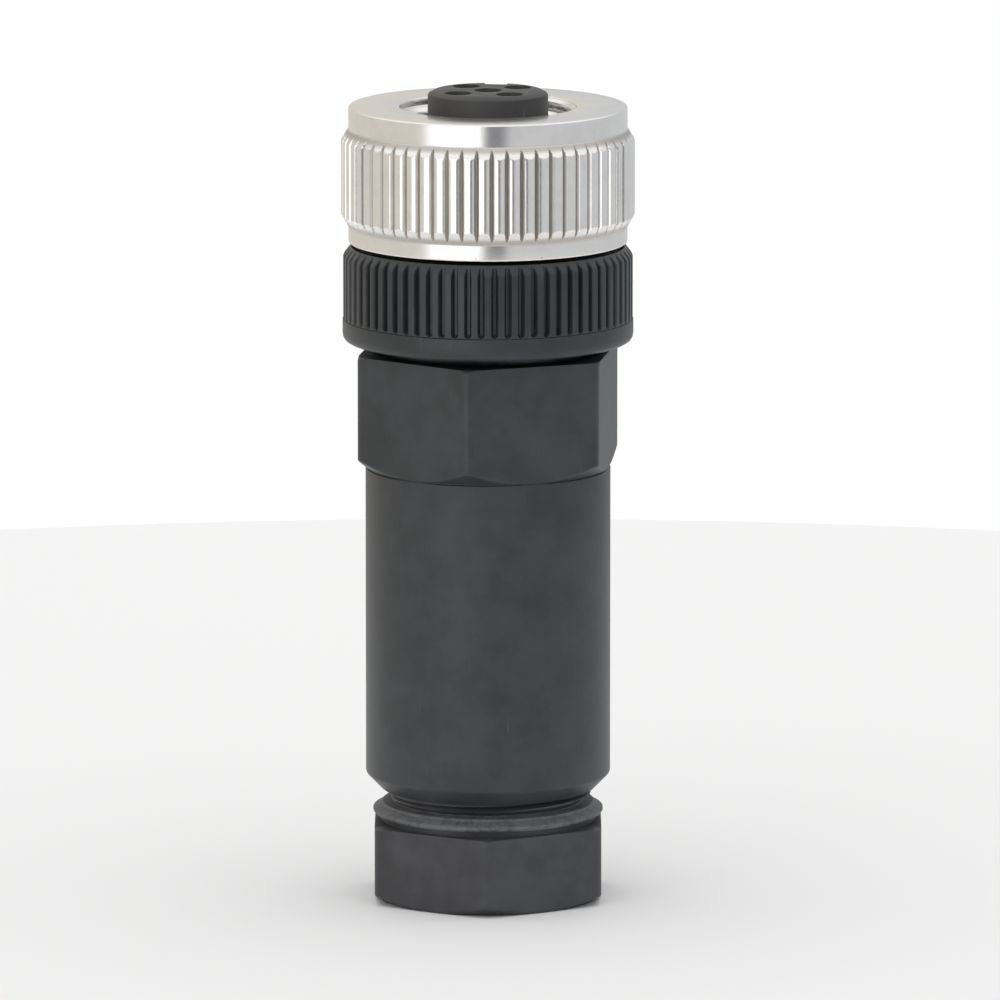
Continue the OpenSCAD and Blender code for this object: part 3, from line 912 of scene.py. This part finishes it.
@dataclass
class CouplingNut:
    """The knurled nut with its internal M12 thread."""

    collar_r: float = 9.5
    knurl_r: float = 10.0
    groove: float = 0.42
    teeth: int = 60
    phase: float = 1.6
    low_collar: float = 1.1
    low_chamfer: float = 0.85
    knurl_h: float = 5.05
    high_chamfer: float = 0.8
    high_collar: float = 1.52
    lip_r: float = 5.02
    lip_h: float = 1.15
    relief_r: float = 6.05
    minor_r: float = 5.459
    major_r: float = 6.0
    relief_h: float = 1.4

    def tooth(self, share: float) -> float:
        """Depth below the tip at a share of the pitch from a tooth's middle."""
        off = abs(share)
        crown = 0.05 * (off / 0.3) ** 2
        if off <= 0.3:
            return crown
        fall = min((off - 0.3) / 0.2, 1.0)
        return 0.05 + (self.groove - 0.05) * (3.0 * fall**2 - 2.0 * fall**3)

    def knurl(self, base: float) -> Skin:
        """One tooth from groove to groove, with both ends chamfered."""
        pitch = 360.0 / self.teeth
        shares = [-0.5, -0.46, -0.42, -0.37, -0.32, -0.25, -0.15, -0.05]
        shares += [-share for share in reversed(shares)]
        low = base + self.low_collar
        high = low + self.low_chamfer + self.knurl_h + self.high_chamfer
        steps = spread(0.0, 1.0, 13)
        heights = [low + self.low_chamfer * 1.15 * step for step in steps]
        heights += [high - self.high_chamfer * 1.15 * step for step in reversed(steps)]
        rise = self.knurl_r - self.collar_r

        def at(z: float) -> Callable[[float], Point]:
            """The row at one height."""
            cone = min(
                self.collar_r + rise * (z - low) / self.low_chamfer,
                self.collar_r + rise * (high - z) / self.high_chamfer,
            )
            return lambda turn: (
                soft_least(self.knurl_r - self.tooth(turn / pitch), cone, 0.05),
                z,
            )

        deep = self.collar_r - 0.3
        rows = [lambda turn: (deep, low - 0.02)] + [at(z) for z in heights]
        rows.append(lambda turn: (deep, high + 0.02))
        return Skin().patch([share * pitch for share in shares], rows)

    def build(self, workshop: Workshop) -> None:
        """Builds the nut and puts it in place of its solid."""
        base = foot_of("coupling_nut")
        low = base + self.low_collar
        high = low + self.low_chamfer + self.knurl_h + self.high_chamfer
        top = high + self.high_collar
        drum = self.knurl_r - self.groove - 0.15
        body = filleted(
            [
                (self.lip_r, base, 0.1),
                (self.collar_r, base, 0.14),
                (self.collar_r, low, 0.0),
                (drum, low + 0.01, 0.0),
                (drum, high - 0.01, 0.0),
                (self.collar_r, high, 0.0),
                (self.collar_r, top, 0.16),
                (self.relief_r, top, 0.08),
                (self.major_r, top - 0.12, 0.0),
                (self.major_r, base + self.lip_h, 0.0),
                (self.lip_r, base + self.lip_h, 0.06),
            ]
        )
        parts = [
            Skin().lathe(body, 240),
            workshop.repeat(
                self.knurl(base), self.teeth, self.phase - 90.0 + 180.0 / self.teeth, Slot.NICKEL
            ),
            workshop.wind(
                base + self.lip_h + self.relief_h, top - 0.1, self.major_r, self.minor_r, Slot.NICKEL
            ),
        ]
        workshop.piece("coupling_nut_dressed", parts, Slot.NICKEL, Body.COUPLING_NUT, ["coupling_nut"])


@dataclass
class GripRing:
    """The ribbed ring with its threaded spigot and the hub that carries the coupling nut."""

    spigot_h: float = 5.5
    thread_r: float = 7.05
    root_r: float = 6.51
    band_r: float = 9.92
    band_h: float = 1.55
    band_round: float = 0.45
    rib_r: float = 9.87
    rib_h: float = 4.35
    groove: float = 0.42
    groove_half: float = 0.17
    ribs: int = 68
    phase: float = 2.7
    chamfer_h: float = 0.65
    chamfer_w: float = 0.5
    hub_r: float = 4.95
    hub_h: float = 1.43
    nose_r: float = 4.6
    nose_h: float = 0.83
    seal_out: float = 8.19
    seal_h: float = 1.02
    block_r: float = 5.48
    shoulder: float = 2.5
    foot_r: float = 4.31

    def depth(self, s: float, z: float, low: float) -> float:
        """Depth of the groove at a distance s from its middle and a height z."""
        end = max(0.0, low + self.groove_half + 0.12 - z)
        off = math.hypot(s, end) - self.groove_half
        share = min(max(0.5 - off / 0.16, 0.0), 1.0)
        return self.groove * (3.0 * share**2 - 2.0 * share**3)

    def rib(self, ring: float) -> Skin:
        """One rib from groove to groove, with round groove ends and the top chamfer."""
        pitch = 360.0 / self.ribs
        width = 2.0 * math.pi * self.rib_r / self.ribs
        shares = [-0.5, -0.45, -0.4, -0.35, -0.31, -0.27, -0.22, -0.1]
        shares += [-share for share in reversed(shares)]
        low = ring + self.band_h
        crest = low + self.rib_h
        top = crest + self.chamfer_h
        heights = spread(low + 0.1, low + 0.6, 11) + spread(low + 0.9, crest - 0.1, 4)
        heights += spread(crest, top, 8)

        def at(z: float) -> Callable[[float], Point]:
            """The row at one height."""
            cone = self.rib_r - self.chamfer_w * (z - crest) / self.chamfer_h

            def place(turn: float) -> Point:
                """Radius and height at one angle."""
                share = turn / pitch
                s = (0.5 - abs(share)) * width
                return soft_least(self.rib_r - self.depth(s, z, low), cone, 0.1), z

            return place

        inner = self.rib_r - self.groove - 0.3
        rows = [lambda turn: (inner, low + 0.02), lambda turn: (self.rib_r - 0.03, low + 0.02)]
        rows += [at(z) for z in heights] + [lambda turn: (inner, top)]
        return Skin().patch([share * pitch for share in shares], rows)

    def build(self, workshop: Workshop) -> None:
        """Builds the ring and puts it in place of its solid."""
        foot = foot_of("grip_ring")
        ring = foot + self.spigot_h
        rib = ring + self.band_h
        top = rib + self.rib_h + self.chamfer_h
        drum = self.rib_r - self.groove - 0.15
        hub = top + self.hub_h
        body = filleted(
            [
                (self.block_r, foot, 0.08),
                (self.root_r, foot, 0.1),
                (self.root_r, ring, 0.0),
                (self.thread_r, ring, 0.0),
                (self.thread_r, ring + self.seal_h, 0.1),
                (self.seal_out, ring + self.seal_h, 0.1),
                (self.seal_out, ring, 0.08),
                (self.band_r, ring, self.band_round * 1.4),
                (self.band_r, rib, 0.07),
                (drum, rib + 0.02, 0.0),
                (drum, top, 0.0),
                (self.hub_r, top, 0.1),
                (self.hub_r, hub, 0.08),
                (self.nose_r, hub, 0.04),
                (self.nose_r, hub + self.nose_h, 0.1),
                (self.foot_r, hub + self.nose_h, 0.05),
                (self.foot_r, ring + self.shoulder, 0.0),
                (self.block_r, ring + self.shoulder, 0.1),
            ]
        )
        parts = [
            Skin().lathe(body, 240),
            workshop.repeat(self.rib(ring), self.ribs, self.phase - 90.0 + 180.0 / self.ribs, Slot.RING),
            workshop.wind(foot + 0.1, ring - 0.02, self.root_r, self.thread_r, Slot.RING),
        ]
        workshop.piece("grip_ring_dressed", parts, Slot.RING, Body.FRONT, ["grip_ring"])


@dataclass
class Housing:
    """The plain barrel under a hexagon collar, with plain bores at both ends where its inner threads sit.
    """

    barrel_r: float = 8.37
    barrel_h: float = 22.35
    chamfer_r: float = 7.3
    chamfer_h: float = 1.05
    seam: float = 0.1
    seam_w: float = 0.14
    collar_h: float = 7.95
    thread_r: float = 7.12
    major_r: float = 7.62
    grommet_r: float = 6.33
    lower_thread: float = 7.11
    ledge: float = 12.24
    ledge_h: float = 1.0
    ledge_r: float = 4.3
    chamber_r: float = 6.93
    spigot: float = 24.85

    def build(self, workshop: Workshop) -> None:
        """Builds the housing and puts it in place of its solid."""
        base = foot_of("housing")
        seam = base + self.barrel_h
        top = seam + self.collar_h
        skin = Skin().lathe(
            filleted(
                [
                    (self.chamfer_r, base, 0.12),
                    (self.barrel_r, base + self.chamfer_h + 0.05, 0.35),
                    (self.barrel_r, seam - self.seam_w, 0.04),
                    (self.barrel_r - self.seam, seam - self.seam_w * 0.6, 0.03),
                    (self.barrel_r - self.seam, seam + 0.02, 0.0),
                    (self.barrel_r - 1.0, seam + 0.02, 0.0),
                    (self.barrel_r - 1.0, top - 0.4, 0.0),
                    (self.thread_r + 0.25, top, 0.0),
                    (self.thread_r, top - 0.25, 0.05),
                    (self.thread_r, base + self.spigot, 0.0),
                    (self.chamber_r, base + self.spigot, 0.05),
                    (self.chamber_r, base + self.ledge + self.ledge_h, 0.2),
                    (self.ledge_r, base + self.ledge + self.ledge_h, 0.15),
                    (self.ledge_r, base + self.ledge, 0.15),
                    (self.grommet_r, base + self.ledge, 0.15),
                    (self.grommet_r, base + self.lower_thread, 0.1),
                    (self.thread_r, base + self.lower_thread, 0.05),
                    (self.thread_r, base, 0.1),
                ]
            ),
            240,
        )
        collar = Hexagon(
            flats=16.6,
            corner=0.7,
            turn=-8.5,
            low=seam,
            high=top,
            low_cone=(self.barrel_r, 0.75),
            high_cone=(9.25, 1.0),
            low_hole=self.barrel_r - 0.6,
            high_hole=self.thread_r + 0.2,
        )
        parts = [skin, collar.mesh(workshop, Slot.HOUSING)]
        workshop.piece("housing_dressed", parts, Slot.HOUSING, Body.HOUSING, ["housing"])


@dataclass
class GlandNut:
    """The hexagon nut of the cable gland, with its cone collar and threaded spigot."""

    hexagon_h: float = 5.35
    undercut_h: float = 0.45
    neck_r: float = 7.425
    collar_r: float = 7.875
    collar_h: float = 0.83
    spigot_h: float = 5.77
    thread_r: float = 7.05
    root_r: float = 6.51
    bore_r: float = 3.5
    cone_foot: float = 0.3
    cone_h: float = 3.95
    cone_r: float = 5.6

    def build(self, workshop: Workshop) -> None:
        """Builds the gland nut and puts it in place of its solid."""
        base = foot_of("gland_nut")
        under = base + self.hexagon_h
        collar = under + self.undercut_h
        shoulder = collar + self.collar_h
        top = shoulder + self.spigot_h
        cone = under + self.cone_foot
        skin = Skin().lathe(
            filleted(
                [
                    (self.bore_r + 0.6, base, 0.08),
                    (self.bore_r + 0.9, base, 0.0),
                    (self.bore_r + 0.9, under - 0.1, 0.0),
                    (self.neck_r, under - 0.1, 0.0),
                    (self.neck_r, collar, 0.1),
                    (self.collar_r - 0.1, collar, 0.06),
                    (self.collar_r, collar + 0.14, 0.08),
                    (self.collar_r, collar + 0.32, 0.1),
                    (self.thread_r + 0.3, shoulder - 0.22, 0.08),
                    (self.thread_r + 0.18, shoulder - 0.05, 0.06),
                    (self.root_r, shoulder, 0.1),
                    (self.root_r, top, 0.15),
                    (self.cone_r, top, 0.1),
                    (self.cone_r, cone + self.cone_h, 0.1),
                    (self.bore_r, cone, 0.2),
                    (self.bore_r, base + 0.6, 0.15),
                ]
            ),
            240,
        )
        hexagon = Hexagon(
            flats=15.5,
            corner=0.8,
            turn=0.0,
            low=base,
            high=under,
            low_cone=(7.65, 0.6),
            high_cone=(8.6, 0.5),
            low_hole=self.bore_r + 0.6,
            high_hole=self.neck_r - 0.3,
        )
        thread = workshop.wind(shoulder + 0.05, top - 0.1, self.root_r, self.thread_r, Slot.GLAND)
        parts = [skin, hexagon.mesh(workshop, Slot.GLAND), thread]
        workshop.piece("gland_nut_dressed", parts, Slot.GLAND, Body.GLAND_NUT, ["gland_nut"])


@dataclass
class Interior:
    """The pieces whose solids keep their shape and take a finish, some with softened edges."""

    contacts: int = 4
    softened: dict[str, tuple[Slot, str, float]] = field(
        default_factory=lambda: {
            "contact_insert": (Slot.INSERT, "front", 0.05),
            "clamp_cage": (Slot.CAGE, "clamp_cage", 0.06),
        }
    )

    def build(self, workshop: Workshop) -> None:
        """Dresses every remaining node."""
        for node, (slot, body, edge) in self.softened.items():
            workshop.softened(f"{node}_dressed", node, slot, body, edge)
        for node in ("grommet", "body_seal", "face_seal"):
            workshop.dress(node, Slot.RUBBER)
        workshop.dress("nut_retainer", Slot.SPRING)
        for number in range(1, self.contacts + 1):
            workshop.dress(f"contact_{number}", Slot.GILT)
            workshop.dress(f"wire_guard_{number}", Slot.SPRING)
            workshop.dress(f"terminal_screw_{number}", Slot.SCREW)


# ----- studio


@dataclass
class Studio:
    """White floor, soft panels round the object, and the camera."""

    distance: float = 875.0
    lens: float = 460.8
    tilt: float = 9.8
    aim: tuple[float, float, float] = (0.82, 0.0, 27.41)
    floor_r: float = 150.0

    def camera(self) -> None:
        """Sets up the camera from the front, a little above."""
        data = bpy.data.cameras.new("camera")
        data.lens = self.lens
        data.sensor_width = 36.0
        data.clip_start = 0.01
        data.clip_end = 10.0
        made = bpy.data.objects.new("camera", data)
        bpy.context.scene.collection.objects.link(made)
        lean = math.radians(self.tilt)
        x, y, z = self.aim
        made.location = (
            x * MM,
            (y - self.distance * math.cos(lean)) * MM,
            (z + self.distance * math.sin(lean)) * MM,
        )
        made.rotation_euler = (math.pi / 2.0 - lean, 0.0, 0.0)
        bpy.context.scene.camera = made

    def floor(self) -> None:
        """A round white floor that the connector stands on."""
        outline = [(0.0, -0.02), (self.floor_r, -0.02)]
        skin = Skin().lathe(list(reversed(outline)), 96, closed=False)
        mesh = skin.mesh("floor")
        made = bpy.data.objects.new("floor", mesh)
        bpy.context.scene.collection.objects.link(made)
        white = bpy.data.materials.new("floor white")
        white.use_nodes = True
        shader = white.node_tree.nodes["Principled BSDF"]
        shader.inputs["Base Color"].default_value = (0.93, 0.93, 0.93, 1.0)
        shader.inputs["Roughness"].default_value = 0.9
        shader.inputs["Specular IOR Level"].default_value = 0.1
        mesh.materials.append(white)

    def world(self) -> None:
        """White behind the object, and panels of light that its gloss and metal show."""
        world = bpy.data.worlds.new("studio")
        bpy.context.scene.world = world
        world.use_nodes = True
        world.node_tree.nodes.clear()
        graph = ShaderGraph(world.node_tree)
        way = graph.add("ShaderNodeTexCoord", {}, {}, "Generated")
        split = graph.node("ShaderNodeSeparateXYZ", {}, {0: way})
        x, y, z = (Signal(graph, split.outputs[axis]) for axis in "XYZ")
        side = graph.math("ARCTAN2", x, -y) * (180.0 / math.pi)
        panel = side.ramp(-56.0, -46.0) * side.ramp(-2.0, -6.0)
        gap = side.ramp(-6.0, -2.0) * side.ramp(17.0, 12.0)
        left = side.ramp(-46.0, -58.0)
        wall = graph.blend(left, (0.62, 0.63, 0.645), (0.7, 0.66, 0.6))
        lit = graph.blend(panel, wall, (1.5, 1.5, 1.52))
        ring = graph.blend(gap, lit, (0.2, 0.205, 0.22))
        above = z.ramp(0.3, 0.6)
        soft = graph.blend(above, ring, (1.05, 1.05, 1.05))
        path = graph.node("ShaderNodeLightPath", {}, {})
        seen = Signal(graph, path.outputs["Is Camera Ray"]).most(
            Signal(graph, path.outputs["Is Transmission Ray"])
        )
        colour = graph.blend(seen, soft, (1.0, 1.0, 1.0))
        shader = graph.node("ShaderNodeBackground", {}, {"Color": colour, "Strength": 1.0})
        output = graph.node("ShaderNodeOutputWorld", {}, {})
        world.node_tree.links.new(shader.outputs[0], output.inputs["Surface"])

    def build(self) -> None:
        """Builds camera, floor and light."""
        bpy.context.scene.view_settings.view_transform = "Standard"
        self.camera()
        self.floor()
        self.world()


def main() -> None:
    """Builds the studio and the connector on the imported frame."""
    logging.basicConfig(level=logging.INFO, format="%(name)s: %(message)s")
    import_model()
    Studio().build()
    workshop = Workshop()
    for sub_assembly in (GlandNut(), Housing(), GripRing(), CouplingNut(), Interior()):
        sub_assembly.build(workshop)


if __name__ == "__main__":
    main()
